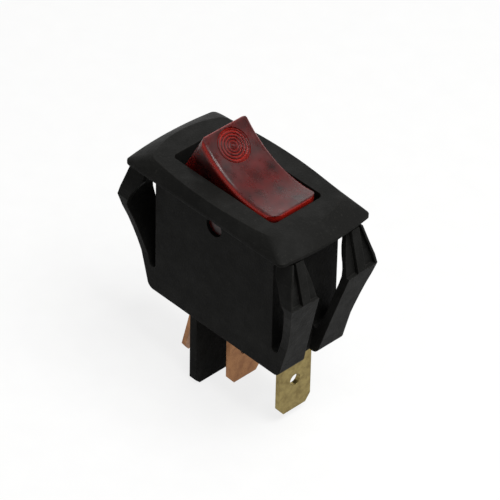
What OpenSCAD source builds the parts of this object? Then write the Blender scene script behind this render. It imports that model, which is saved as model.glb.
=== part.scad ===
// Lighted snap-in panel rocker switch, single pole, three quick-connect blades.
// Origin: centre of the bezel's underside, which seats on the panel. +Z leaves the panel's front.
// +X runs along the long axis to the end with the lamp's blade. Millimetres.
// Rest position: on, with the +X end of the rocker pressed and the lens end raised.

/* [Bezel] */
// Length of the bezel at its corners
bezel_l = 32.9; // [31:0.1:36]
// Width of the bezel
bezel_w = 17.7; // [16:0.1:19]
// Height of the bezel above the panel
bezel_h = 2.45; // [1.8:0.05:3.5]
// Height of the upright rim round the bezel
rim_h = 0.5; // [0.3:0.05:1]
// How far the middle of each short end bulges past the corners
rim_bulge = 0.6; // [0.2:0.1:1]
// Corner radius of the rim, seen from the front
rim_r = 0.9; // [0.3:0.1:1.5]
// Half length of the flat top face at its corners
top_x = 13.1; // [12:0.1:14]
// Half width of the flat top face at its corners
top_y = 7.3; // [6:0.1:7.6]
// Half length of the flat top face at mid width
top_mid_x = 14.6; // [13.8:0.1:15.5]
// Half width of the flat top face at mid length
top_mid_y = 8.2; // [7.8:0.1:8.5]
// Length of the opening for the rocker
well_l = 21.2; // [20.9:0.1:21.6]
// Width of the opening for the rocker
well_w = 9.8; // [9.6:0.1:10.2]
// Corner radius of the opening
well_r = 0.9; // [0.4:0.1:1.5]

/* [Body] */
// Length of the body between its end walls
body_l = 24.8; // [24.6:0.1:26]
// Width of the body
body_w = 12.8; // [12.6:0.1:13.4]
// Depth of the body below the panel's face
body_d = 23.0; // [22.6:0.1:25]
// Thickness of the body's walls
wall = 1.1; // [0.9:0.05:1.2]

/* [Snap legs] */
// Distance of the legs' knees from the middle
knee_x = 18.4; // [17.6:0.05:18.8]
// Depth of the knees below the panel's face
knee_z = 7.0; // [6:0.05:8]
// Half width over the pair of legs at the knees
knee_y_out = 8.5; // [7.8:0.1:8.7]
// Half of the gap between the pair of legs at the knees
knee_y_in = 3.0; // [2.2:0.1:3.2]
// Half of the gap between the pair of legs at their roots
root_y_in = 1.25; // [0.8:0.05:1.6]
// Lean of a leg's head above its knee, in millimetres per millimetre of height
head_lean = 0.26; // [0.15:0.01:0.35]
// Depth of the pockets beside a leg's rib
pocket_d = 0.75; // [0.3:0.05:0.9]
// Width of the rib up the middle of a leg
rib_w = 1.5; // [1.2:0.1:2]
// Gap between a leg's tip and the bezel
tip_gap = 0.4; // [0.2:0.05:0.8]

/* [Rocker] */
// Depth of the rocker's pivot below the panel's face
pivot_z = 3.6; // [3.4:0.05:3.8]
// Tilt to each side of the middle, in degrees
tilt = 14; // [12:0.5:14]
// Width of the rocker
rocker_w = 9.2; // [8.8:0.1:9.3]
// Radius of the dished top of the rocker
dish_r = 15.6; // [15:0.1:17]
// Wall thickness of the rocker
rocker_t = 1.1; // [0.9:0.1:1.3]
// Diameter of the trunnion pins
pin_d = 3.0; // [2.6:0.1:3.2]
// Radial clearance of a pin in its hole
pin_fit = 0.05; // [0.03:0.01:0.08]
// Diameter of the ring lens
lens_d = 5.4; // [5:0.1:7]
// Number of rings in the lens
lens_rings = 5; // [3:1:6]

/* [Blades] */
// Width of a quick-connect tab
tab_w = 6.35; // [6.2:0.05:6.4]
// Thickness of the blades
tab_t = 0.8; // [0.75:0.05:0.85]
// Depth of the copper tabs' tips below the panel's face
copper_z = 35.1; // [33:0.1:36]
// Depth of the brass tab's tip below the panel's face
brass_z = 34.5; // [33:0.1:36]
// Diameter of the hole in a tab
tab_hole_d = 2.0; // [1.6:0.1:2.2]
// Distance of the line terminal from the middle
line_x = 7.2; // [7:0.1:7.4]
// Outward bend of the line terminal's tab, in degrees
line_bend = 14; // [0:1:16]
// Distance of the lamp terminal from the middle
lamp_x = 10.59; // [10.4:0.01:10.7]
// Depth of the barrier's lower edge below the panel's face
barrier_z = 36.0; // [32:0.1:37]

/* [Hidden] */

$fn = 48;
eps = 0.01;
bow_steps = 12;
crown = 0.18;
land_r = 1.9;

// body
half_l = body_l / 2;
half_w = body_w / 2;
inner_l = body_l - 2 * wall;
inner_w = body_w - 2 * wall;
base_t = 2.2;
base_top = -body_d + base_t;

// snap leg, in its own side view: distance from the middle, height
foot_x = half_l + 0.7;
front_low = [14.1, -22.2];
slot_r = 0.68;
slot_bottom = -body_d + 4.9;
head_x = knee_x - head_lean * (knee_z - tip_gap);
tip_y_out = 6.95;
tip_y_in = 4.3;
rib_y = 5.47;
border_w = 0.35;
gusset_w = 0.9;

// rocker, in a frame centred on its pivot with the rocker level
stem_d = 5.0;
stem_bore_d = 2.7;
stem_bottom = -4.6;
stem_bore_top = 2.6;
skirt_z = 2.6;
far_crest = [-7.9, 10.62];
near_crest = [8.3, 8.85];
far_skirt_x = -9.95;
near_skirt_x = 9.8;
crest_r = 0.35;
edge_r = 0.7;
far_corner_r = 1.3;
near_corner_r = 2.1;
spare = 0.02;
cheek_r = 2.7;
pin_reach = half_w - 0.5;
lens_angle = 26;
lens_floor = 0.14;

// see-saw contact
fulcrum_r = tab_t / 2;
fulcrum_z = -13.0;
blade_t = 0.6;
blade_w = 3.6;
blade_gap = 0.02;
blade_tilt = 8;
blade_far = -10.1;
blade_near = 4.2;
contact_x = -8.5;
contact_d = 3.0;
contact_h = 0.6;
shank_d = 1.2;
fixed_x = -8.4;
fixed_top = -14.43;
dome_r = 4;
fixed_rim = 0.4;
shelf_top = fixed_top - fixed_rim - (dome_r - sqrt(dome_r * dome_r - contact_d * contact_d / 4));

// plunger and spring
plunger_d = 2.6;
plunger_top = -1.2;
plunger_tip = -8.32;
spring_d = 2.3;
spring_wire = 0.32;
spring_turns = 7;

// lamp circuit
lamp_at = [7.4, -1.8];
lamp_r = 1.7;
glass_t = 0.3;
glass_bottom = -16.6;
glass_top = -9.0;
pinch_h = 1.4;
rod_gap = 0.55;
wire_d = 0.4;
lamp_lead_z = -18.6;
link_z = -18.0;
resistor_at = [lamp_at[0] + rod_gap, 2.6];
resistor_d = 2.0;
resistor_bottom = -15.6;
resistor_top = -10.6;
cap_h = 0.8;
upper_lead_z = -9.8;
shoulder_w = 7.4;
shoulder_h = 2.0;

// Point on a cubic curve with end points a, d and handles b, c
function cubic(a, b, c, d, t) =
    pow(1 - t, 3) * a + 3 * pow(1 - t, 2) * t * b + 3 * (1 - t) * t * t * c + t * t * t * d;

// Points of a shallow arc from a to b whose middle stands out by rise, to the right of a-b
function bow(a, b, rise, n) =
    let (d = b - a, len = norm(d), out = [d[1], -d[0]] / len)
    [for (i = [1:n - 1]) let (s = i / n) a + d * s + out * rise * 4 * s * (1 - s)];

// Bezel outline, anticlockwise from the +X end: half sizes at the corners, how far the ends and the
// long sides bulge, and the corner radius; every outline has as many points, in the same order
function outline(x, y, end_rise, side_rise, r) =
    let (u = atan(2 * end_rise / (y - r)), v = atan(2 * side_rise / (x - r)))
    let (corners = [arc([x - r, y - r], r, u, 90 - v, 6),
                    arc([r - x, y - r], r, 90 + v, 180 - u, 6),
                    arc([r - x, r - y], r, 180 + u, 270 - v, 6),
                    arc([x - r, r - y], r, 270 + v, 360 - u, 6)])
    let (rise = [side_rise, end_rise, side_rise, end_rise])
    [for (k = [0:3])
        each concat(corners[k], bow(corners[k][6], corners[(k + 1) % 4][0], rise[k], bow_steps))];

// Points of an arc round c, from angle a0 to a1 in degrees
function arc(c, r, a0, a1, n) =
    [for (i = [0:n]) let (a = a0 + (a1 - a0) * i / n) c + r * [cos(a), sin(a)]];

// Child profile drawn as (x, height), made a plate from y0 to y1
module side_plate(y0, y1) {
    translate([0, y1, 0]) rotate([90, 0, 0]) linear_extrude(y1 - y0) children();
}

// Child profile drawn as (y, height), made a block from x0 to x1
module end_plate(x0, x1) {
    translate([x0, 0, 0]) rotate([90, 0, 90]) linear_extrude(x1 - x0) children();
}

// Rectangle with round corners, centred
module round_rect(l, w, r) {
    union() {
        square([l - 2 * r, w], center = true);
        square([l, w - 2 * r], center = true);
        for (x = [-1, 1], y = [-1, 1])
            translate([x * (l / 2 - r), y * (w / 2 - r)]) circle(r);
    }
}

// ---- housing ----

module bezel_solid() {
    rim = outline(bezel_l / 2, bezel_w / 2, rim_bulge, 0, rim_r);
    land = outline(top_x, top_y, top_mid_x - top_x, top_mid_y - top_y, land_r);
    n = len(rim);
    shares = [0, 0, 0.2, 0.4, 0.6, 0.8, 0.94, 1];
    heights = [for (k = [0:7]) k == 0 ? 0
        : rim_h + (bezel_h - rim_h) * (shares[k] + crown * shares[k] * (1 - shares[k]))];
    levels = len(shares);
    polyhedron(
        points = [for (k = [0:levels - 1]) for (i = [0:n - 1])
            let (p = rim[i] * (1 - shares[k]) + land[i] * shares[k]) [p[0], p[1], heights[k]]],
        faces = concat(
            [[for (i = [0:n - 1]) i], [for (i = [n - 1:-1:0]) (levels - 1) * n + i]],
            [for (k = [0:levels - 2]) for (i = [0:n - 1])
                let (j = (i + 1) % n) each [[k * n + i, k * n + n + i, k * n + n + j],
                                            [k * n + i, k * n + n + j, k * n + j]]]),
        convexity = 2);
}

// Side view of a leg: arm from its foot to the knee, and the head that leans back to its tip
module leg_profile() {
    outer = [for (i = [0:8])
        cubic(front_low, front_low + [1.3, 5.0], [16.9, -12.1], [knee_x, -knee_z], i / 8)];
    polygon(concat(
        [[half_l - wall / 2, -body_d], [foot_x, -body_d], [foot_x + 0.45, -body_d + 0.15],
         [foot_x + 0.8, -body_d + 0.45]],
        outer,
        [[head_x, -tip_gap], [head_x - 1.4, -tip_gap], [15.4, -1.5], [15.65, -3.0], [16.0, -4.2],
         [16.45, -5.3], [16.7, -6.4], [16.75, -7.5], [16.45, -8.9], [16.0, -10.4], [15.6, -11.8],
         [15.2, -13.3], [14.8, -14.85], [14.15, -16.7]],
        arc([half_l + slot_r, slot_bottom], slot_r, 0, -180, 8),
        [[half_l - wall / 2, slot_bottom]]));
}

// Heights and half widths of the legs' outer side, from the knees up
head_side = [[knee_y_out, -knee_z], [knee_y_out - 0.2, -5.5], [knee_y_out - 0.6, -4.1],
             [knee_y_out - 1.0, -2.6], [tip_y_out + 0.25, -1.4], [tip_y_out, -tip_gap]];

// Front view of the leg on the +Y side: it splays from its foot to its knee and narrows to its tip
module leg_front() {
    polygon(concat(
        [[root_y_in, -body_d - 1], [half_w, -body_d - 1], [half_w, -17], [half_w + 0.28, -15],
         [half_w + 0.65, -13], [half_w + 1.1, -11], [half_w + 1.7, -9]],
        head_side,
        [[tip_y_out, 0], [tip_y_in, 0], [tip_y_in - 0.15, -1.5], [knee_y_in + 0.7, -3.3],
         [knee_y_in + 0.3, -5], [knee_y_in, -knee_z]]));
}

// Plane parallel to the head's front, as a side view of all that lies in front of it
module before_head(depth, bottom) {
    polygon([[knee_x - depth + head_lean * (-knee_z - bottom), bottom], [knee_x + 2, bottom],
             [knee_x + 2, 1], [knee_x - depth - head_lean * (knee_z + 1), 1]]);
}

// What the two pockets take from the head, one on each side of its rib
module leg_pockets() {
    rib_out = rib_y + rib_w / 2;
    rib_in = rib_y - rib_w / 2;
    intersection() {
        side_plate(knee_y_in - 1, knee_y_out + 1) before_head(pocket_d, -knee_z - 1);
        end_plate(tip_y_in, knee_x + 2)
            union() {
                polygon([[knee_y_in - 1, -knee_z - 0.45], [rib_in, -knee_z - 0.25], [rib_in, 1],
                         [knee_y_in - 1, 1]]);
                polygon(concat([[rib_out, 1], [rib_out, -knee_z - 0.1]],
                    [for (p = head_side) p - [border_w, 0]], [[tip_y_out - border_w, 1]]));
            }
    }
}

// Wall along the outer side of the head, which reaches back towards the body
module leg_gusset() {
    intersection() {
        side_plate(0, knee_y_out + 1)
            polygon([[16.6, -8], [15.5, -5.4], [14.65, -4.1], [14.1, -3.2], [13.9, -1.8], [13.9, -tip_gap],
                     [head_x - 1, -tip_gap], [knee_x - 1, -knee_z]]);
        end_plate(half_l, knee_x + 1)
            polygon(concat([[half_w + 1.7, -9]], head_side, [[tip_y_out - gusset_w, -tip_gap],
                [knee_y_out - gusset_w, -knee_z], [half_w + 1.0, -9]]));
    }
}

module snap_leg() {
    difference() {
        intersection() {
            side_plate(0, knee_y_out + 1) leg_profile();
            end_plate(half_l - wall, knee_x + 1) leg_front();
        }
        leg_pockets();
    }
    leg_gusset();
}

module housing() {
    color([0.15, 0.15, 0.15])
    difference() {
        union() {
            bezel_solid();
            translate([-half_l, -half_w, -body_d]) cube([body_l, body_w, body_d + eps]);
            for (sx = [0, 1], sy = [0, 1]) mirror([sx, 0, 0]) mirror([0, sy, 0]) snap_leg();
        }
        // rocker well through the bezel
        translate([0, 0, -wall]) linear_extrude(bezel_h + wall + 1) round_rect(well_l, well_w, well_r);
        // cavity, open at the bottom
        translate([-inner_l / 2, -inner_w / 2, -body_d - 1])
            cube([inner_l, inner_w, body_d + 1 - wall]);
        // trunnion holes in both long walls
        translate([0, half_w + 1, -pivot_z]) rotate([90, 0, 0])
            cylinder(d = pin_d + 2 * pin_fit, h = body_w + 2);
    }
}

// ---- base ----

module blade_slot(x) {
    translate([x - tab_t / 2, -tab_w / 2, -body_d - 1]) cube([tab_t, tab_w, base_t + 2]);
}

module base() {
    barrier_x = -4.5;
    barrier_t = 1.4;
    barrier_w = 12.1;
    color([0.16, 0.16, 0.16])
    union() {
        difference() {
            translate([-inner_l / 2, -inner_w / 2, -body_d]) cube([inner_l, inner_w, base_t]);
            blade_slot(-line_x);
            blade_slot(0);
            blade_slot(lamp_x);
        }
        // barrier between the two copper blades, with rounded lower corners
        end_plate(barrier_x - barrier_t / 2, barrier_x + barrier_t / 2)
            union() {
                polygon([[-barrier_w / 2, -body_d], [-barrier_w / 2, -barrier_z + 0.8],
                         [-barrier_w / 2 + 0.8, -barrier_z], [barrier_w / 2 - 0.8, -barrier_z],
                         [barrier_w / 2, -barrier_z + 0.8], [barrier_w / 2, -body_d]]);
            }
    }
}

// ---- rocker ----

dish_chord = near_crest - far_crest;
dish_c = (far_crest + near_crest) / 2
    + [-dish_chord[1], dish_chord[0]] / norm(dish_chord)
      * sqrt(dish_r * dish_r - pow(norm(dish_chord) / 2, 2));
far_a = atan2(far_crest[1] - dish_c[1], far_crest[0] - dish_c[0]);
near_a = atan2(near_crest[1] - dish_c[1], near_crest[0] - dish_c[0]);

// Puts a rocker part, drawn level round its pivot, in its rest position
module at_rest() {
    translate([0, 0, -pivot_z]) rotate([0, tilt, 0]) children();
}

// Outward direction of the rocker's end face from its foot q to its crest p, on side s
function end_out(p, q, s) = s * [p[1] - q[1], q[0] - p[0]] / norm(p - q);

// Centre of the round that touches the end face from inside and the dish from below
function crest_centre(p, out, s, r, dish) =
    let (reach = (-r - (dish_c - p) * out) / (dish + r))
    let (turn = atan2(out[1], out[0]) - s * acos(reach))
    dish_c + (dish + r) * [cos(turn), sin(turn)];

// Points round a crest, from the end face to just past the dish's edge
function crest_arc(p, q, s, r, inset) =
    let (out = end_out(p, q, s))
    let (c = crest_centre(p - inset * out, out, s, r, dish_r + inset))
    let (start = atan2(out[1], out[0]))
    let (stop = atan2(dish_c[1] - c[1], dish_c[0] - c[0]) + s * 4)
    arc(c, r, start, stop, 8);

// Side view of the rocker: two leaning ends and the dished top, drawn smaller by inset
module rocker_profile(inset, r) {
    far_foot = [far_skirt_x, skirt_z];
    near_foot = [near_skirt_x, skirt_z];
    near_round = crest_arc(near_crest, near_foot, 1, r, inset);
    difference() {
        polygon(concat(
            [far_foot + [inset * 1.05, -inset]],
            crest_arc(far_crest, far_foot, -1, r, inset),
            [for (i = [len(near_round) - 1:-1:0]) near_round[i]],
            [near_foot + [-inset * 1.05, -inset]]));
        translate(dish_c) circle(dish_r + inset, $fn = 180);
    }
}

// Prism with rounded corners that leans as the rocker's end face does, a hair outside its end and sides
module end_prism(p, q, s, r) {
    lean = atan2(p[0] - q[0], p[1] - q[1]);
    translate([q[0], 0, q[1]]) rotate([0, lean, 0])
        translate([s * (spare - 15), 0, -6]) linear_extrude(22) round_rect(30, rocker_w + 2 * spare, r);
}

// Rings of the lens, raised from the floor of its shallow round pocket
module lens_pocket() {
    translate([dish_c[0], 0, dish_c[1]]) rotate([0, lens_angle, 0]) translate([0, 0, -dish_r - lens_floor])
        cylinder(d = lens_d, h = 2, $fn = 72);
}

module lens_ring_set() {
    pitch = lens_d / 2 / (lens_rings + 0.5);
    translate([dish_c[0], 0, dish_c[1]]) rotate([0, lens_angle, 0]) translate([0, 0, -dish_r - lens_floor])
        rotate_extrude($fn = 72)
            union() {
                translate([0, -0.3]) square([pitch * 0.5, 0.3 + 0.12]);
                for (i = [1:lens_rings])
                    translate([pitch * i, 0])
                        polygon([[-pitch * 0.34, -0.3], [pitch * 0.34, -0.3], [pitch * 0.34, 0],
                                 [pitch * 0.1, 0.17], [-pitch * 0.1, 0.17], [-pitch * 0.34, 0]]);
            }
}

// Rounds the long upper edges with a quarter round swept along the dish
module edge_cutter() {
    translate([dish_c[0], 0, dish_c[1]]) rotate([90, 0, 0])
        for (s = [0, 1]) mirror([0, 0, s])
            translate([0, 0, rocker_w / 2 - edge_r])
                rotate_extrude($fn = 180)
                    difference() {
                        translate([dish_r - 1, 0]) square([1 + edge_r, edge_r + 1]);
                        translate([dish_r + edge_r, 0]) circle(edge_r);
                    }
}

module rocker() {
    ch = rocker_w / 2;
    color([0.55, 0.07, 0.06])
    at_rest()
    difference() {
        union() {
            difference() {
                intersection() {
                    side_plate(-ch, ch) rocker_profile(0, crest_r);
                    end_prism(far_crest, [far_skirt_x, skirt_z], -1, far_corner_r);
                    end_prism(near_crest, [near_skirt_x, skirt_z], 1, near_corner_r);
                }
                edge_cutter();
                side_plate(-ch + rocker_t, ch - rocker_t) rocker_profile(rocker_t, 0.3);
            }
            // plunger stem, up into the dished wall
            intersection() {
                translate([0, 0, stem_bottom]) cylinder(d = stem_d, h = 14);
                side_plate(-ch, ch)
                    difference() {
                        translate([-stem_d, stem_bottom - 1]) square([2 * stem_d, 14]);
                        translate(dish_c) circle(dish_r + rocker_t / 2, $fn = 180);
                    }
            }
            // cheeks that carry the trunnion pins
            for (s = [0, 1]) mirror([0, s, 0]) {
                side_plate(ch - rocker_t, ch)
                    union() {
                        circle(cheek_r);
                        polygon([[-5.5, skirt_z + 0.2], [-2.45, -1.1], [2.45, -1.1], [5.5, skirt_z + 0.2]]);
                    }
                translate([0, pin_reach, 0]) rotate([90, 0, 0])
                    cylinder(d = pin_d, h = pin_reach - ch + 0.3);
            }
        }
        lens_pocket();
        translate([0, 0, stem_bottom - 1]) cylinder(d = stem_bore_d, h = stem_bore_top - stem_bottom + 1);
    }
    color([0.55, 0.07, 0.06]) at_rest() lens_ring_set();
}

// ---- plunger ----

module plunger() {
    color([0.85, 0.84, 0.78])
    at_rest()
        rotate_extrude()
            difference() {
                union() {
                    translate([0, plunger_tip + plunger_d / 2])
                        square([plunger_d / 2, plunger_top - plunger_tip - plunger_d / 2]);
                    translate([0, plunger_tip + plunger_d / 2]) circle(plunger_d / 2);
                }
                translate([-5, -20]) square([5, 40]);
            }
}

// Wire of round section carried along a helix; the ends are flat
module helix(d, wire, turns, h, steps, sides) {
    n = turns * steps;
    rise = h - wire;
    pts = [for (i = [0:n], k = [0:sides - 1])
        let (a = 360 * i / steps, u = 360 * k / sides, r = d / 2 - wire / 2 + wire / 2 * cos(u))
        [r * cos(a), r * sin(a), wire / 2 + rise * i / n + wire / 2 * sin(u)]];
    faces = concat(
        [[for (k = [0:sides - 1]) k]],
        [for (i = [0:n - 1], k = [0:sides - 1])
            let (a = i * sides + k, b = i * sides + (k + 1) % sides) [a, a + sides, b + sides, b]],
        [[for (k = [sides - 1:-1:0]) n * sides + k]]);
    polyhedron(pts, faces);
}

module plunger_spring() {
    color([0.75, 0.75, 0.77])
    at_rest() translate([0, 0, plunger_top])
        helix(spring_d, spring_wire, spring_turns, stem_bore_top - plunger_top, 16, 8);
}

// ---- see-saw contact ----

// Puts a part of the see-saw, drawn level, in its rest position
module see_saw() {
    translate([0, 0, fulcrum_z]) rotate([0, -blade_tilt, 0]) children();
}

blade_bottom = fulcrum_r + blade_gap;

module contact_blade() {
    color([0.78, 0.5, 0.35])
    see_saw() difference() {
        translate([0, 0, blade_bottom]) linear_extrude(blade_t)
            union() {
                translate([blade_far + blade_w / 2, -blade_w / 2])
                    square([blade_near - blade_far - blade_w / 2, blade_w]);
                translate([blade_far + blade_w / 2, 0]) circle(blade_w / 2);
            }
        translate([contact_x, 0, 0]) cylinder(d = shank_d, h = 3);
    }
}

module moving_contact() {
    color([0.82, 0.82, 0.8])
    see_saw() translate([contact_x, 0, 0])
        rotate_extrude()
            polygon([[0, blade_bottom - contact_h], [contact_d / 2 - 0.15, blade_bottom - contact_h],
                     [contact_d / 2, blade_bottom - contact_h + 0.15], [contact_d / 2, blade_bottom],
                     [shank_d / 2, blade_bottom], [shank_d / 2, blade_bottom + blade_t],
                     [shank_d / 2 + 0.17, blade_bottom + blade_t], [shank_d / 2, blade_bottom + blade_t + 0.25],
                     [0, blade_bottom + blade_t + 0.25]]);
}

module fixed_contact() {
    dome = arc([0, fixed_top - dome_r], dome_r, 90, 90 - asin(contact_d / 2 / dome_r), 8);
    color([0.82, 0.82, 0.8])
    translate([fixed_x, 0, 0])
        rotate_extrude()
            polygon(concat(dome,
                [[contact_d / 2, shelf_top], [shank_d / 2, shelf_top], [shank_d / 2, shelf_top - tab_t],
                 [shank_d / 2 + 0.17, shelf_top - tab_t], [shank_d / 2, shelf_top - tab_t - 0.25],
                 [0, shelf_top - tab_t - 0.25]]));
}

// ---- blades ----

// Quick-connect tab as (y, height), tip at zero, with bevelled corners and its hole
module tab_profile(h) {
    difference() {
        polygon([[-tab_w / 2, h], [-tab_w / 2, 1.25], [-tab_w / 2 + 0.95, 0], [tab_w / 2 - 0.95, 0],
                 [tab_w / 2, 1.25], [tab_w / 2, h]]);
        translate([0, 5.5]) circle(d = tab_hole_d);
    }
}

// Shoulders of a blade, which seat on the top of the base
module shoulders(x) {
    translate([x - tab_t / 2, -shoulder_w / 2, base_top]) cube([tab_t, shoulder_w, shoulder_h]);
}

// What the bevels take off the tip of a tab, as (y, height)
module tip_bevels() {
    for (s = [0, 1]) mirror([s, 0])
        polygon([[-tab_w / 2 - 0.475, 1.875], [-tab_w / 2 + 1.425, -0.625], [-tab_w / 2 - 0.475, -0.625]]);
}

module line_terminal() {
    bend_z = -body_d - 0.5;
    tail = copper_z + bend_z;
    mitre = tab_t / 2 * tan(line_bend / 2);
    tip = [-line_x - tail * sin(line_bend), bend_z - tail * cos(line_bend)];
    half_t = tab_t / 2 * [cos(line_bend), -sin(line_bend)];
    color([0.72, 0.45, 0.3])
    difference() {
        union() {
            // strip with its tab bent outwards at the body's underside
            side_plate(-tab_w / 2, tab_w / 2)
                polygon([[-line_x - tab_t / 2, shelf_top], [-line_x - tab_t / 2, bend_z + mitre], tip - half_t,
                         tip + half_t, [-line_x + tab_t / 2, bend_z - mitre], [-line_x + tab_t / 2, shelf_top]]);
            shoulders(-line_x);
            translate([-line_x - 3.0, -shoulder_w / 2 + 1.5, shelf_top - tab_t])
                cube([3.0 + tab_t / 2, shoulder_w - 3, tab_t]);
        }
        translate([-line_x, 0, bend_z]) rotate([0, line_bend, 0]) translate([0, 0, -tail])
            end_plate(-tab_t, tab_t)
                union() {
                    tip_bevels();
                    translate([0, 5.5]) circle(d = tab_hole_d);
                }
        translate([fixed_x, 0, shelf_top - 2]) cylinder(d = shank_d, h = 3);
    }
}

module load_terminal() {
    ear_w = 0.9;
    color([0.74, 0.46, 0.32])
    union() {
        translate([0, 0, -copper_z]) end_plate(-tab_t / 2, tab_t / 2) tab_profile(copper_z + base_top);
        shoulders(0);
        // upright that ends in the fulcrum's rounded edge
        translate([-tab_t / 2, -blade_w / 2, base_top]) cube([tab_t, blade_w, fulcrum_z - base_top]);
        translate([0, 0, fulcrum_z]) rotate([90, 0, 0]) cylinder(r = fulcrum_r, h = blade_w, center = true);
        // ears that keep the see-saw in place sideways
        for (s = [0, 1]) mirror([0, s, 0])
            translate([-tab_t / 2, blade_w / 2 + 0.2, base_top + shoulder_h - 1])
                cube([tab_t, ear_w, fulcrum_z + 1.9 - base_top - shoulder_h + 1]);
        translate([-tab_t / 2, -blade_w / 2 - 0.3, base_top]) cube([tab_t, blade_w + 0.6, 5.5]);
    }
}

module lamp_terminal() {
    color([0.72, 0.64, 0.38])
    union() {
        translate([lamp_x, 0, -brass_z]) end_plate(-tab_t / 2, tab_t / 2) tab_profile(brass_z + base_top);
        shoulders(lamp_x);
        translate([lamp_x - tab_t / 2, resistor_at[1] - 1.1, base_top])
            cube([tab_t, 2.2, upper_lead_z + 1 - base_top]);
    }
}

// ---- lamp circuit ----

module lamp_glass() {
    color([0.85, 0.88, 0.88, 0.4])
    translate([lamp_at[0], lamp_at[1], 0])
        difference() {
            union() {
                translate([0, 0, glass_bottom]) cylinder(r = lamp_r, h = glass_top - lamp_r - glass_bottom);
                translate([0, 0, glass_top - lamp_r]) sphere(lamp_r);
            }
            translate([0, 0, glass_bottom + pinch_h])
                cylinder(r = lamp_r - glass_t, h = glass_top - lamp_r - glass_bottom - pinch_h);
            translate([0, 0, glass_top - lamp_r]) sphere(lamp_r - glass_t);
            for (s = [-1, 1])
                translate([s * rod_gap, 0, glass_bottom - 1]) cylinder(d = wire_d, h = pinch_h + 2);
        }
}

module electrode(s) {
    translate([lamp_at[0] + s * rod_gap, lamp_at[1], glass_bottom + pinch_h + 0.3])
        cylinder(d = 0.6, h = 3.6, $fn = 24);
}

module left_electrode() { color([0.7, 0.7, 0.7]) electrode(-1); }

module right_electrode() { color([0.7, 0.7, 0.7]) electrode(1); }

// Round wire through a list of points, with round elbows
module wire(path) {
    union() {
        for (i = [0:len(path) - 2]) {
            d = path[i + 1] - path[i];
            translate(path[i]) rotate([0, acos(d[2] / norm(d)), atan2(d[1], d[0])])
                cylinder(d = wire_d, h = norm(d), $fn = 24);
        }
        if (len(path) > 2)
            for (i = [1:len(path) - 2]) translate(path[i]) sphere(d = wire_d, $fn = 24);
    }
}

module lamp_lead() {
    x = lamp_at[0] - rod_gap;
    color([0.75, 0.55, 0.4])
    wire([[x, lamp_at[1], glass_bottom + pinch_h + 0.3], [x, lamp_at[1], lamp_lead_z],
          [tab_t / 2, lamp_at[1], lamp_lead_z]]);
}

module lead_sleeve() {
    x0 = 1.4;
    x1 = lamp_at[0] - rod_gap - 0.8;
    color([0.85, 0.83, 0.7])
    translate([x0, lamp_at[1], lamp_lead_z]) rotate([0, 90, 0])
        difference() {
            cylinder(d = 1.0, h = x1 - x0);
            translate([0, 0, -1]) cylinder(d = wire_d, h = x1 - x0 + 2);
        }
}

module link_lead() {
    x = resistor_at[0];
    color([0.75, 0.55, 0.4])
    wire([[x, lamp_at[1], glass_bottom + pinch_h + 0.3], [x, lamp_at[1], link_z], [x, resistor_at[1], link_z],
          [x, resistor_at[1], resistor_bottom]]);
}

module resistor_body() {
    color([0.55, 0.7, 0.75])
    translate([resistor_at[0], resistor_at[1], resistor_bottom + cap_h])
        cylinder(d = resistor_d - 0.2, h = resistor_top - resistor_bottom - 2 * cap_h);
}

module resistor_lower_cap() {
    color([0.75, 0.75, 0.74])
    translate([resistor_at[0], resistor_at[1], resistor_bottom]) cylinder(d = resistor_d, h = cap_h);
}

module resistor_upper_cap() {
    color([0.75, 0.75, 0.74])
    translate([resistor_at[0], resistor_at[1], resistor_top - cap_h]) cylinder(d = resistor_d, h = cap_h);
}

module resistor_lead() {
    color([0.78, 0.76, 0.7])
    wire([[resistor_at[0], resistor_at[1], resistor_top], [resistor_at[0], resistor_at[1], upper_lead_z],
          [lamp_x - tab_t / 2, resistor_at[1], upper_lead_z]]);
}

housing();
base();
rocker();
plunger();
plunger_spring();
contact_blade();
moving_contact();
fixed_contact();
line_terminal();
load_terminal();
lamp_terminal();
lamp_glass();
left_electrode();
right_electrode();
lamp_lead();
lead_sleeve();
link_lead();
resistor_body();
resistor_lower_cap();
resistor_upper_cap();
resistor_lead();
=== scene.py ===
"""Looks of a lighted snap-in panel rocker switch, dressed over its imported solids."""

import logging
import math
from dataclasses import dataclass
from enum import Enum

import bpy
import numpy as np
from mathutils import Matrix, Vector


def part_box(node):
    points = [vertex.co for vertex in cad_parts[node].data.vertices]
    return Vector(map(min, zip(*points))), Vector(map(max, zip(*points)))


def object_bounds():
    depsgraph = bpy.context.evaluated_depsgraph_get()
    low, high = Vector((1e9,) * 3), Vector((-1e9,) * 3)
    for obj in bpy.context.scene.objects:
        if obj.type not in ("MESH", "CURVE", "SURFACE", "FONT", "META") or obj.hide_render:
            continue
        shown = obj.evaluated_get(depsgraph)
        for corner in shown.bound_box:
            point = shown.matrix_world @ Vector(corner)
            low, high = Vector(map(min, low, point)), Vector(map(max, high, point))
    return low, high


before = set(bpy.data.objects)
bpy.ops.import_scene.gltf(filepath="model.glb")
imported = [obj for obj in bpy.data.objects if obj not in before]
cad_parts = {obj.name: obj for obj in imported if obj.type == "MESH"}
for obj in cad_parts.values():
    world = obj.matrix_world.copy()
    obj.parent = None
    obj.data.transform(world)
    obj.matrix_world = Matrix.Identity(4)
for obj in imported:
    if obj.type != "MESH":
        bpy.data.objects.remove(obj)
CAD_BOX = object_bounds()

logging.basicConfig(level=logging.INFO, format="%(name)s: %(message)s")
LOG = logging.getLogger("switch")

MM = 0.001
WHITE = (1.0, 1.0, 1.0, 1.0)
EVEN = (1.0, 1.0, 1.0)
LINE_DRAW = 0.06

Socket = bpy.types.NodeSocket
Tree = bpy.types.NodeTree
Material = bpy.types.Material


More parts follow.
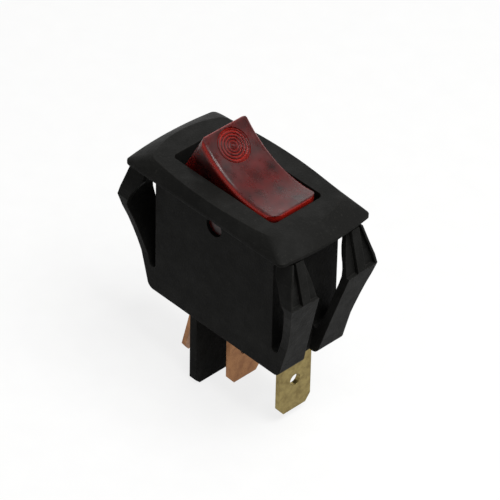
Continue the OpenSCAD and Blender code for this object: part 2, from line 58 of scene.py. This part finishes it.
class Rolled(Enum):
    """Way that a strip ran through the rolls, as the scale of its noise along x, y and z."""

    ALONG_X = (LINE_DRAW, 1.0, 1.0)
    ALONG_Z = (1.0, 1.0, LINE_DRAW)


@dataclass(frozen=True)
class Noise:
    """Soft noise, placed by where it lies on the object.

    size_mm is the width of a blob, octaves the number of finer layers and rough their strength. stretch is
    the scale along x, y and z, where a small number draws the blobs out, and shift_mm picks another stretch
    of the same noise.
    """

    size_mm: float
    octaves: float = 3.0
    rough: float = 0.5
    stretch: tuple[float, float, float] = EVEN
    shift_mm: float = 0.0


@dataclass(frozen=True)
class Patches:
    """Noise cut into soft-edged patches: none where the noise is below start, full from end on."""

    noise: Noise
    start: float
    end: float


def linear(hex_colour: str) -> tuple[float, float, float, float]:
    """Turn an sRGB hex colour into linear light.

    Each channel follows the sRGB curve: a straight foot up to 0.04045, and a power of 2.4 above it.

    Args:
        hex_colour: Six hex digits, such as "2b2b29".

    Returns:
        Red, green, blue and an alpha of one.
    """
    values = np.array([int(hex_colour[i:i + 2], 16) for i in (0, 2, 4)]) / 255.0
    light = np.where(values <= 0.04045, values / 12.92, ((values + 0.055) / 1.055) ** 2.4)
    return (float(light[0]), float(light[1]), float(light[2]), 1.0)


def add_node(tree: Tree, kind: str, settings: dict | None = None,
             inputs: dict | None = None, links: dict | None = None) -> bpy.types.Node:
    """Add one shader node with its settings, values and incoming links.

    Args:
        tree: The material's or the world's node tree.
        kind: The node's type name.
        settings: Attributes of the node itself.
        inputs: Socket names or indices and the values that they hold.
        links: Socket names or indices and the output sockets that feed them.

    Returns:
        The new node.
    """
    node = tree.nodes.new(kind)
    for name, value in (settings or {}).items():
        setattr(node, name, value)
    for name, value in (inputs or {}).items():
        node.inputs[name].default_value = value
    for name, socket in (links or {}).items():
        tree.links.new(socket, node.inputs[name])
    return node


class Recipe:
    """A material in the making, with the patterns that several finishes share.

    Every pattern lies in Object coordinates, in metres.
    """

    # Match of the rounded with the flat normal, 1 on a flat face, where an edge starts and where it is full.
    edge_starts: float = 0.995
    edge_full: float = 0.86
    edge_samples: int = 4

    def __init__(self, name: str) -> None:
        """Start an empty material.

        Args:
            name: What the material is called.
        """
        self.material = bpy.data.materials.new(name)
        self.material.use_nodes = True
        self.tree = self.material.node_tree
        self.tree.nodes.clear()
        self.place = add_node(self.tree, "ShaderNodeTexCoord").outputs["Object"]

    def cloud(self, noise: Noise) -> Socket:
        """Lay soft noise over the surface.

        Args:
            noise: Its size and character.

        Returns:
            A value that wanders about 0.5.
        """
        shift = noise.shift_mm * MM
        placed = add_node(self.tree, "ShaderNodeMapping",
                          inputs={"Location": (shift, shift, shift), "Scale": noise.stretch},
                          links={"Vector": self.place})
        return add_node(self.tree, "ShaderNodeTexNoise",
                        inputs={"Scale": 1.0 / (noise.size_mm * MM), "Detail": noise.octaves,
                                "Roughness": noise.rough},
                        links={"Vector": placed.outputs["Vector"]}).outputs["Fac"]

    def patched(self, patches: Patches, bare: float = 0.0, full: float = 1.0) -> Socket:
        """Lay patches over the surface.

        Args:
            patches: Their noise and how much of it they take.
            bare: Value between the patches.
            full: Value in the patches.

        Returns:
            The value, with soft steps from bare to full.
        """
        return add_node(self.tree, "ShaderNodeMapRange",
                        inputs={"From Min": patches.start, "From Max": patches.end,
                                "To Min": bare, "To Max": full},
                        links={"Value": self.cloud(patches.noise)}).outputs["Result"]

    def coated(self, ground: str, *coats: tuple[Socket, str]) -> Socket:
        """Lay coats of colour over a ground.

        Args:
            ground: Hex colour of the bare material.
            coats: At least one; for each from the lowest up, the share that it covers and its hex colour.

        Returns:
            The colour.
        """
        below: Socket | None = None
        for share, colour in coats:
            coat = add_node(self.tree, "ShaderNodeMix", settings={"data_type": "RGBA"},
                            inputs={6: linear(ground), 7: linear(colour)}, links={0: share})
            if below is not None:
                self.tree.links.new(below, coat.inputs[6])
            below = coat.outputs[2]
        return below

    def soft_edges(self, radius_mm: float, full: float = 1.0) -> tuple[Socket, Socket]:
        """Round the edges in shading, and find where they are.

        Args:
            radius_mm: Radius that the edges seem to have.
            full: Value of the mask on an edge's crest.

        Returns:
            The rounded normal, and a mask that rises from 0 to full on the edges.
        """
        rounded = add_node(self.tree, "ShaderNodeBevel", settings={"samples": self.edge_samples},
                           inputs={"Radius": radius_mm * MM}).outputs["Normal"]
        flat = add_node(self.tree, "ShaderNodeNewGeometry").outputs["Normal"]
        match = add_node(self.tree, "ShaderNodeVectorMath", settings={"operation": "DOT_PRODUCT"},
                         links={0: rounded, 1: flat}).outputs["Value"]
        mask = add_node(self.tree, "ShaderNodeMapRange",
                        inputs={"From Min": self.edge_starts, "From Max": self.edge_full, "To Max": full},
                        links={"Value": match}).outputs["Result"]
        return rounded, mask

    def textured(self, noise: Noise, depth_mm: float, over: Socket | None = None) -> Socket:
        """Raise a texture on the surface.

        Args:
            noise: The texture's size and character.
            depth_mm: Height from its lowest to its highest point.
            over: Normal that it lies over, or None for the mesh's own.

        Returns:
            The textured normal.
        """
        links = {"Height": self.cloud(noise)}
        if over is not None:
            links["Normal"] = over
        return add_node(self.tree, "ShaderNodeBump", inputs={"Distance": depth_mm * MM},
                        links=links).outputs["Normal"]

    def close(self, inputs: dict, links: dict) -> Material:
        """End the tree with a Principled shader.

        Args:
            inputs: Values that are the same all over the surface.
            links: Sockets that feed the shader.

        Returns:
            The finished material.
        """
        shader = add_node(self.tree, "ShaderNodeBsdfPrincipled", inputs=inputs, links=links)
        add_node(self.tree, "ShaderNodeOutputMaterial", links={"Surface": shader.outputs["BSDF"]})
        return self.material


class Finish:
    """What a piece is made of, and how its surface was made."""

    def material(self) -> Material:
        """Build the material, which each finish does in its own way."""
        raise NotImplementedError


@dataclass(frozen=True)
class MouldedNylon(Finish):
    """Black nylon 66 from a spark-eroded mould: satin, finely grained, dusty and paler along its edges.

    The mould's grain is about 0.1 mm and is drawn coarser, so that it shows. Dust and handling take most of
    the mirror off the skin, so mirror is well under a clean moulding's 0.5.
    """

    name: str = "moulded black nylon"
    body: str = "171716"
    dust: str = "20201f"
    edge: str = "32312e"
    ior: float = 1.53
    mirror: float = 0.02
    roughness: tuple[float, float] = (0.42, 0.52)
    gloss: Patches = Patches(Noise(1.4, shift_mm=11.0), 0.3, 0.7)
    clouds: Patches = Patches(Noise(3.5, 4.0, 0.6), 0.45, 0.75)
    specks: Patches = Patches(Noise(0.35, 2.0, shift_mm=7.0), 0.62, 0.75)
    speck_strength: float = 0.35
    wear: Patches = Patches(Noise(0.9, shift_mm=3.0), 0.35, 0.7)
    wear_strength: tuple[float, float] = (0.15, 0.8)
    grain: Noise = Noise(0.28, 2.0)
    grain_depth_mm: float = 0.055
    edge_radius_mm: float = 0.16

    def material(self) -> Material:
        """Build the black plastic.

        Returns:
            The material.
        """
        mix = Recipe(self.name)
        rounded, edges = mix.soft_edges(self.edge_radius_mm)
        worn = add_node(mix.tree, "ShaderNodeMath", settings={"operation": "MULTIPLY"},
                        links={0: edges, 1: mix.patched(self.wear, *self.wear_strength)}).outputs[0]
        colour = mix.coated(self.body,
                            (mix.patched(self.clouds), self.dust),
                            (mix.patched(self.specks, full=self.speck_strength), self.edge),
                            (worn, self.edge))
        return mix.close({"IOR": self.ior, "Specular IOR Level": self.mirror},
                         {"Base Color": colour, "Roughness": mix.patched(self.gloss, *self.roughness),
                          "Normal": mix.textured(self.grain, self.grain_depth_mm, rounded)})


@dataclass(frozen=True)
class TintedPolycarbonate(Finish):
    """Clear polycarbonate dyed red: light passes through it, and handling has dulled its skin.

    Clean polycarbonate has an IOR of 1.586. The dulled skin mirrors less, so ior is lower.
    """

    name: str = "red polycarbonate"
    tint: str = "6e0c09"
    deep: str = "380706"
    # Colour of the painted glow: a painted highlight on the band under the dish's edge, not a lamp.
    painted_glow: str = "be281c"
    ior: float = 1.36
    mirror: float = 0.18
    see_through: float = 0.65
    roughness: tuple[float, float] = (0.17, 0.42)
    dye: Patches = Patches(Noise(2.6), 0.35, 0.7)
    smears: Patches = Patches(Noise(1.8, 4.0, 0.65, (0.6, 1.0, 1.0), 5.0), 0.3, 0.7)
    sink: Noise = Noise(0.8, shift_mm=2.0)
    sink_depth_mm: float = 0.01
    edge_radius_mm: float = 0.12
    dish_centre_mm: tuple[float, float] = (7.152, 18.227)
    dish_radius_mm: float = 15.6
    band_rises_mm: tuple[float, float] = (0.02, 0.2)
    band_fades_mm: tuple[float, float] = (0.51, 1.105)

    def material(self) -> Material:
        """Build the red plastic.

        Returns:
            The material.
        """
        mix = Recipe(self.name)
        rounded, _ = mix.soft_edges(self.edge_radius_mm)
        # The top coat is painted light: a lighter red painted on the band under the dish's edge, standing in
        # for light coming out of the wall.
        colour = mix.coated(self.tint, (mix.patched(self.dye), self.deep), (self.painted_rim_glow(mix), self.painted_glow))
        return mix.close({"IOR": self.ior, "Transmission Weight": self.see_through,
                          "Specular IOR Level": self.mirror},
                         {"Base Color": colour, "Roughness": mix.patched(self.smears, *self.roughness),
                          "Normal": mix.textured(self.sink, self.sink_depth_mm, rounded)})

    def painted_rim_glow(self, mix: Recipe) -> Socket:
        """Find the band under the dish's edge where a glow is painted into the colour, a painted highlight
        that stands in for light running inside the wall and coming out.

        The band is measured from the dish's axis, which lies along y: it rises to 1 just outside the dish's
        radius and fades to 0 further out.

        Args:
            mix: The material that is being built.

        Returns:
            The band's share.
        """
        x, z = self.dish_centre_mm
        across = add_node(mix.tree, "ShaderNodeMapping", settings={"vector_type": "TEXTURE"},
                          inputs={"Location": (x * MM, 0.0, z * MM)}, links={"Vector": mix.place})
        flat = add_node(mix.tree, "ShaderNodeVectorMath", settings={"operation": "MULTIPLY"},
                        inputs={1: (1.0, 0.0, 1.0)}, links={0: across.outputs["Vector"]})
        reach = add_node(mix.tree, "ShaderNodeVectorMath", settings={"operation": "LENGTH"},
                         links={0: flat.outputs["Vector"]}).outputs["Value"]
        rise, fade = (
            add_node(mix.tree, "ShaderNodeMapRange",
                     inputs={"From Min": (self.dish_radius_mm + near) * MM,
                             "From Max": (self.dish_radius_mm + far) * MM,
                             "To Min": inside, "To Max": 1.0 - inside},
                     links={"Value": reach}).outputs["Result"]
            for (near, far), inside in ((self.band_rises_mm, 0.0), (self.band_fades_mm, 1.0)))
        return add_node(mix.tree, "ShaderNodeMath", settings={"operation": "MULTIPLY"},
                        links={0: rise, 1: fade}).outputs[0]


@dataclass(frozen=True)
class StampedStrip(Finish):
    """Rolled strip, blanked in a press: fine rolling lines, tarnish in clouds and a burnished edge.

    Rolling lines are about 0.02 mm apart and are drawn coarser, so that they show.
    """

    name: str
    clean: str
    tarnish: str
    spots: str
    rolled: Rolled = Rolled.ALONG_Z
    roughness: tuple[float, float] = (0.28, 0.5)
    cloud_mm: float = 1.8
    spotting: Patches = Patches(Noise(0.5, 4.0, 0.7, shift_mm=4.0), 0.6, 0.74)
    burnish: float = 0.6
    line_mm: float = 0.07
    line_depth_mm: float = 0.004
    edge_radius_mm: float = 0.08

    def material(self) -> Material:
        """Build the strip metal.

        Returns:
            The material.
        """
        mix = Recipe(self.name)
        rounded, edges = mix.soft_edges(self.edge_radius_mm, self.burnish)
        clouds = Patches(Noise(self.cloud_mm, 5.0, 0.6), 0.38, 0.66)
        colour = mix.coated(self.clean,
                            (mix.patched(clouds), self.tarnish),
                            (mix.patched(self.spotting), self.spots),
                            (edges, self.clean))
        lines = Noise(self.line_mm, 2.0, stretch=self.rolled.value)
        return mix.close({"Metallic": 1.0},
                         {"Base Color": colour, "Roughness": mix.patched(clouds, *self.roughness),
                          "Normal": mix.textured(lines, self.line_depth_mm, rounded)})


@dataclass(frozen=True)
class DrawnMetal(Finish):
    """Wire, rivet and spring stock, drawn through a die: bright metal with a little oxide."""

    name: str
    clean: str
    oxide: str
    roughness: tuple[float, float] = (0.18, 0.36)
    clouds: Patches = Patches(Noise(0.7), 0.4, 0.7)
    skin: Noise = Noise(0.12, 2.0)
    skin_depth_mm: float = 0.003

    def material(self) -> Material:
        """Build the drawn metal.

        Returns:
            The material.
        """
        mix = Recipe(self.name)
        return mix.close({"Metallic": 1.0},
                         {"Base Color": mix.coated(self.clean, (mix.patched(self.clouds), self.oxide)),
                          "Roughness": mix.patched(self.clouds, *self.roughness),
                          "Normal": mix.textured(self.skin, self.skin_depth_mm)})


@dataclass(frozen=True)
class LampGlass(Finish):
    """Soda-lime tube of the glow lamp, smoked a little where the electrodes have sputtered."""

    name: str = "lamp glass"
    clear: str = "f2f0ea"
    smoked: str = "8f887c"
    ior: float = 1.52
    see_through: float = 0.95
    roughness: float = 0.03
    smoke: Patches = Patches(Noise(1.6, 2.0), 0.5, 0.75)
    ripple: Noise = Noise(1.1, 1.0)
    ripple_depth_mm: float = 0.02

    def material(self) -> Material:
        """Build the glass.

        Returns:
            The material.
        """
        mix = Recipe(self.name)
        return mix.close({"IOR": self.ior, "Transmission Weight": self.see_through,
                          "Roughness": self.roughness},
                         {"Base Color": mix.coated(self.clear, (mix.patched(self.smoke), self.smoked)),
                          "Normal": mix.textured(self.ripple, self.ripple_depth_mm)})


@dataclass(frozen=True)
class Insulator(Finish):
    """Dull insulator, such as woven glass sleeve or moulded acetal, shaded in clouds four grains wide."""

    name: str
    body: str
    shade: str
    grain_mm: float
    depth_mm: float
    roughness: float = 0.6
    cloud_grains: float = 4.0

    def material(self) -> Material:
        """Build the insulator.

        Returns:
            The material.
        """
        mix = Recipe(self.name)
        clouds = Patches(Noise(self.grain_mm * self.cloud_grains), 0.35, 0.65)
        return mix.close({"Roughness": self.roughness},
                         {"Base Color": mix.coated(self.body, (mix.patched(clouds), self.shade)),
                          "Normal": mix.textured(Noise(self.grain_mm, 2.0), self.depth_mm)})


@dataclass(frozen=True)
class BandedEnamel(Finish):
    """Glossy resistor enamel, with its value painted round it in bands along z."""

    name: str = "banded resistor enamel"
    ground: str = "8fb4bd"
    shade: str = "7397a1"
    bands: tuple[tuple[float, str], ...] = (
        (0.18, "5a3216"), (0.4, "161412"), (0.6, "c9a40e"), (0.84, "a98a3a"))
    band_share: float = 0.06
    clouds: Patches = Patches(Noise(0.5), 0.35, 0.65)
    roughness: float = 0.35
    coat: float = 0.3
    skin: Noise = Noise(0.3, 2.0)
    skin_depth_mm: float = 0.01

    def material(self) -> Material:
        """Build the enamel, each band a share of the resistor's own height.

        Returns:
            The material.
        """
        mix = Recipe(self.name)
        low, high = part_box("resistor_body")
        height = add_node(mix.tree, "ShaderNodeSeparateXYZ", links={"Vector": mix.place}).outputs["Z"]
        along = add_node(mix.tree, "ShaderNodeMapRange", inputs={"From Min": low[2], "From Max": high[2]},
                         links={"Value": height}).outputs["Result"]
        painted = [
            (add_node(mix.tree, "ShaderNodeMath", settings={"operation": "COMPARE"},
                      inputs={1: place, 2: self.band_share}, links={0: along}).outputs[0], paint)
            for place, paint in self.bands]
        colour = mix.coated(self.ground, (mix.patched(self.clouds), self.shade), *painted)
        return mix.close({"Roughness": self.roughness, "Coat Weight": self.coat},
                         {"Base Color": colour,
                          "Normal": mix.textured(self.skin, self.skin_depth_mm)})


def dress(finish: Finish, *names: str) -> None:
    """Give CAD nodes a finish in every slot that they have.

    Args:
        finish: What the nodes are made of.
        names: CAD nodes that take it.
    """
    material = finish.material()
    for name in names:
        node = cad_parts[name]
        if not node.material_slots:
            node.data.materials.append(material)
        for slot in node.material_slots:
            slot.material = material
        LOG.info("%s: %s", name, material.name)


@dataclass
class Housing:
    """Body with its bezel and snap legs, and the base that closes it underneath."""

    nylon: MouldedNylon = MouldedNylon()
    filled: MouldedNylon = MouldedNylon("glass-filled black nylon", "1b1b1a", "242423", "32312e",
                                        roughness=(0.55, 0.7), grain=Noise(0.35, 2.0))

    def build(self) -> None:
        """Dress the two black mouldings."""
        dress(self.nylon, "housing")
        dress(self.filled, "base")


@dataclass
class Button:
    """Rocker with its ring lens, and the sprung plunger in its stem."""

    skin: TintedPolycarbonate = TintedPolycarbonate()
    acetal: Insulator = Insulator("white acetal", "e6e3da", "d8d4c8", grain_mm=0.3, depth_mm=0.006,
                                  roughness=0.35)
    wire: DrawnMetal = DrawnMetal("music wire", "b8b6b0", "8a8780")

    def build(self) -> None:
        """Dress the rocker, the plunger and its spring."""
        dress(self.skin, "rocker")
        dress(self.acetal, "plunger")
        dress(self.wire, "plunger_spring")


@dataclass
class Contacts:
    """Terminals, see-saw blade and contact rivets."""

    copper: StampedStrip = StampedStrip("tarnished copper", "966a45", "845a3a", "6c4a33",
                                        roughness=(0.2, 0.4))
    brass: StampedStrip = StampedStrip("tarnished brass", "90804e", "79693e", "584f32", cloud_mm=1.2)
    bronze: StampedStrip = StampedStrip("phosphor bronze", "d09a6c", "b57f54", "8a5a3a", Rolled.ALONG_X)
    silver: DrawnMetal = DrawnMetal("contact silver", "d8d6d0", "a8a49a")

    def build(self) -> None:
        """Dress the metal of the switching circuit."""
        dress(self.copper, "line_terminal", "load_terminal")
        dress(self.brass, "lamp_terminal")
        dress(self.bronze, "contact_blade")
        dress(self.silver, "moving_contact", "fixed_contact")


@dataclass
class PilotLamp:
    """Glow lamp, its leads and its series resistor."""

    glass: LampGlass = LampGlass()
    nickel: DrawnMetal = DrawnMetal("nickel rod", "b5b2aa", "7f7c74")
    enamel: BandedEnamel = BandedEnamel()
    tinned: DrawnMetal = DrawnMetal("tinned wire", "c8c8c6", "9a9a98", (0.22, 0.4))
    sleeve: Insulator = Insulator("woven glass sleeve", "d9d4c4", "bdb7a4", grain_mm=0.12, depth_mm=0.02,
                                  roughness=0.8)

    def build(self) -> None:
        """Dress the lamp circuit."""
        dress(self.glass, "lamp_glass")
        dress(self.nickel, "left_electrode", "right_electrode")
        dress(self.enamel, "resistor_body")
        dress(self.tinned, "lamp_lead", "link_lead", "resistor_lead",
              "resistor_lower_cap", "resistor_upper_cap")
        dress(self.sleeve, "lead_sleeve")


@dataclass
class Viewpoint:
    """The camera, which looks down on the switch from its near right."""

    azimuth_deg: float = 45.943
    elevation_deg: float = 39.04
    roll_deg: float = 1.246
    lens_mm: float = 297.0
    sensor_mm: float = 36.0
    distance_mm: float = 592.04
    aside_mm: float = 0.442
    above_mm: float = -8.325
    aim_drop_mm: float = 0.5
    clip_start_mm: float = 10.0

    def build(self) -> None:
        """Make the camera and make it the scene's own."""
        turns = (self.azimuth_deg, self.elevation_deg, self.roll_deg)
        az, el, roll = (math.radians(turn) for turn in turns)
        back = Vector((math.sin(az) * math.cos(el), -math.cos(az) * math.cos(el), math.sin(el)))
        level = Vector((math.cos(az), math.sin(az), 0.0))
        rise = back.cross(level)
        right = math.cos(roll) * level + math.sin(roll) * rise
        up = -math.sin(roll) * level + math.cos(roll) * rise
        place = (self.distance_mm * back + self.aside_mm * right + self.above_mm * up
                 - Vector((0.0, 0.0, self.aim_drop_mm))) * MM
        data = bpy.data.cameras.new("camera")
        data.lens = self.lens_mm
        data.sensor_width = self.sensor_mm
        data.clip_start = self.clip_start_mm * MM
        camera = bpy.data.objects.new("camera", data)
        turned = Matrix((right, up, back)).transposed().to_4x4()
        camera.matrix_world = Matrix.Translation(place) @ turned
        bpy.context.scene.collection.objects.link(camera)
        bpy.context.scene.camera = camera
        LOG.info("camera set")


@dataclass(frozen=True)
class SoftBox:
    """Square lamp that faces the origin."""

    place_mm: tuple[float, float, float]
    size_mm: float
    power_w: float


@dataclass
class Studio:
    """White paper and sky, under soft boxes."""

    floor_mm: float = 600.0
    floor_gap_mm: float = 0.02
    paper: Patches = Patches(Noise(4.0), 0.3, 0.7)
    paper_white: tuple[float, float] = (1.0835, 1.1)
    paper_bounce: str = "c6c6c4"
    shadow_share: float = 0.25
    sky: float = 0.15
    boxes: tuple[SoftBox, ...] = (
        SoftBox((140.0, 20.0, 310.0), 220.0, 1.8),
        SoftBox((-200.0, 190.0, 190.0), 200.0, 0.18),
    )

    def shown(self, tree: Tree) -> Socket:
        """Find the rays that show the surroundings: seen directly, in a reflection or through glass.

        Args:
            tree: The floor's or the world's node tree.

        Returns:
            A mask that is 1 for those rays.
        """
        path = add_node(tree, "ShaderNodeLightPath")
        mask = path.outputs["Is Camera Ray"]
        for kind in ("Is Glossy Ray", "Is Transmission Ray"):
            mask = add_node(tree, "ShaderNodeMath", settings={"operation": "MAXIMUM"},
                            links={0: mask, 1: path.outputs[kind]}).outputs[0]
        return mask

    def paper_material(self) -> Material:
        """Build the floor's paper: white where it is shown, less a share that keeps the switch's shadow.

        Returns:
            The material.
        """
        mix = Recipe("studio paper")
        white = add_node(mix.tree, "ShaderNodeEmission", inputs={"Color": WHITE},
                         links={"Strength": mix.patched(self.paper, *self.paper_white)})
        pale = add_node(mix.tree, "ShaderNodeBsdfDiffuse", inputs={"Color": linear(self.paper_bounce)})
        share = add_node(mix.tree, "ShaderNodeMath", settings={"operation": "MULTIPLY"},
                         inputs={1: 1.0 - self.shadow_share}, links={0: self.shown(mix.tree)})
        both = add_node(mix.tree, "ShaderNodeMixShader",
                        links={0: share.outputs[0], 1: pale.outputs[0], 2: white.outputs[0]})
        add_node(mix.tree, "ShaderNodeOutputMaterial", links={"Surface": both.outputs[0]})
        return mix.material

    def floor(self) -> None:
        """Lay the paper level, just under the lowest piece."""
        half = self.floor_mm / 2 * MM
        low = CAD_BOX[0][2] - self.floor_gap_mm * MM
        mesh = bpy.data.meshes.new("floor")
        mesh.from_pydata([(-half, -half, low), (half, -half, low), (half, half, low), (-half, half, low)],
                         [], [(0, 1, 2, 3)])
        mesh.materials.append(self.paper_material())
        floor = bpy.data.objects.new("floor", mesh)
        bpy.context.scene.collection.objects.link(floor)

    def world(self) -> None:
        """Make the sky white where it is shown, and softer as a light."""
        world = bpy.data.worlds.new("studio")
        world.use_nodes = True
        tree = world.node_tree
        tree.nodes.clear()
        lit = add_node(tree, "ShaderNodeBackground", inputs={"Color": WHITE, "Strength": self.sky})
        seen = add_node(tree, "ShaderNodeBackground", inputs={"Color": WHITE, "Strength": 1.0})
        both = add_node(tree, "ShaderNodeMixShader",
                        links={0: self.shown(tree), 1: lit.outputs[0], 2: seen.outputs[0]})
        add_node(tree, "ShaderNodeOutputWorld", links={"Surface": both.outputs[0]})
        bpy.context.scene.world = world

    def lamps(self) -> None:
        """Hang the soft boxes, each facing the switch."""
        for index, box in enumerate(self.boxes):
            light = bpy.data.lights.new(f"soft_box_{index}", "AREA")
            light.shape = "SQUARE"
            light.size = box.size_mm * MM
            light.energy = box.power_w
            lamp = bpy.data.objects.new(light.name, light)
            place = Vector(box.place_mm) * MM
            turned = place.to_track_quat("Z", "Y").to_matrix().to_4x4()
            lamp.matrix_world = Matrix.Translation(place) @ turned
            bpy.context.scene.collection.objects.link(lamp)

    def build(self) -> None:
        """Set the stage."""
        self.floor()
        self.world()
        self.lamps()
        bpy.context.scene.view_settings.view_transform = "Standard"
        LOG.info("studio set")


def main() -> None:
    """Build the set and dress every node."""
    for part in (Viewpoint(), Housing(), Button(), Contacts(), PilotLamp(), Studio()):
        part.build()


if __name__ == "__main__":
    main()
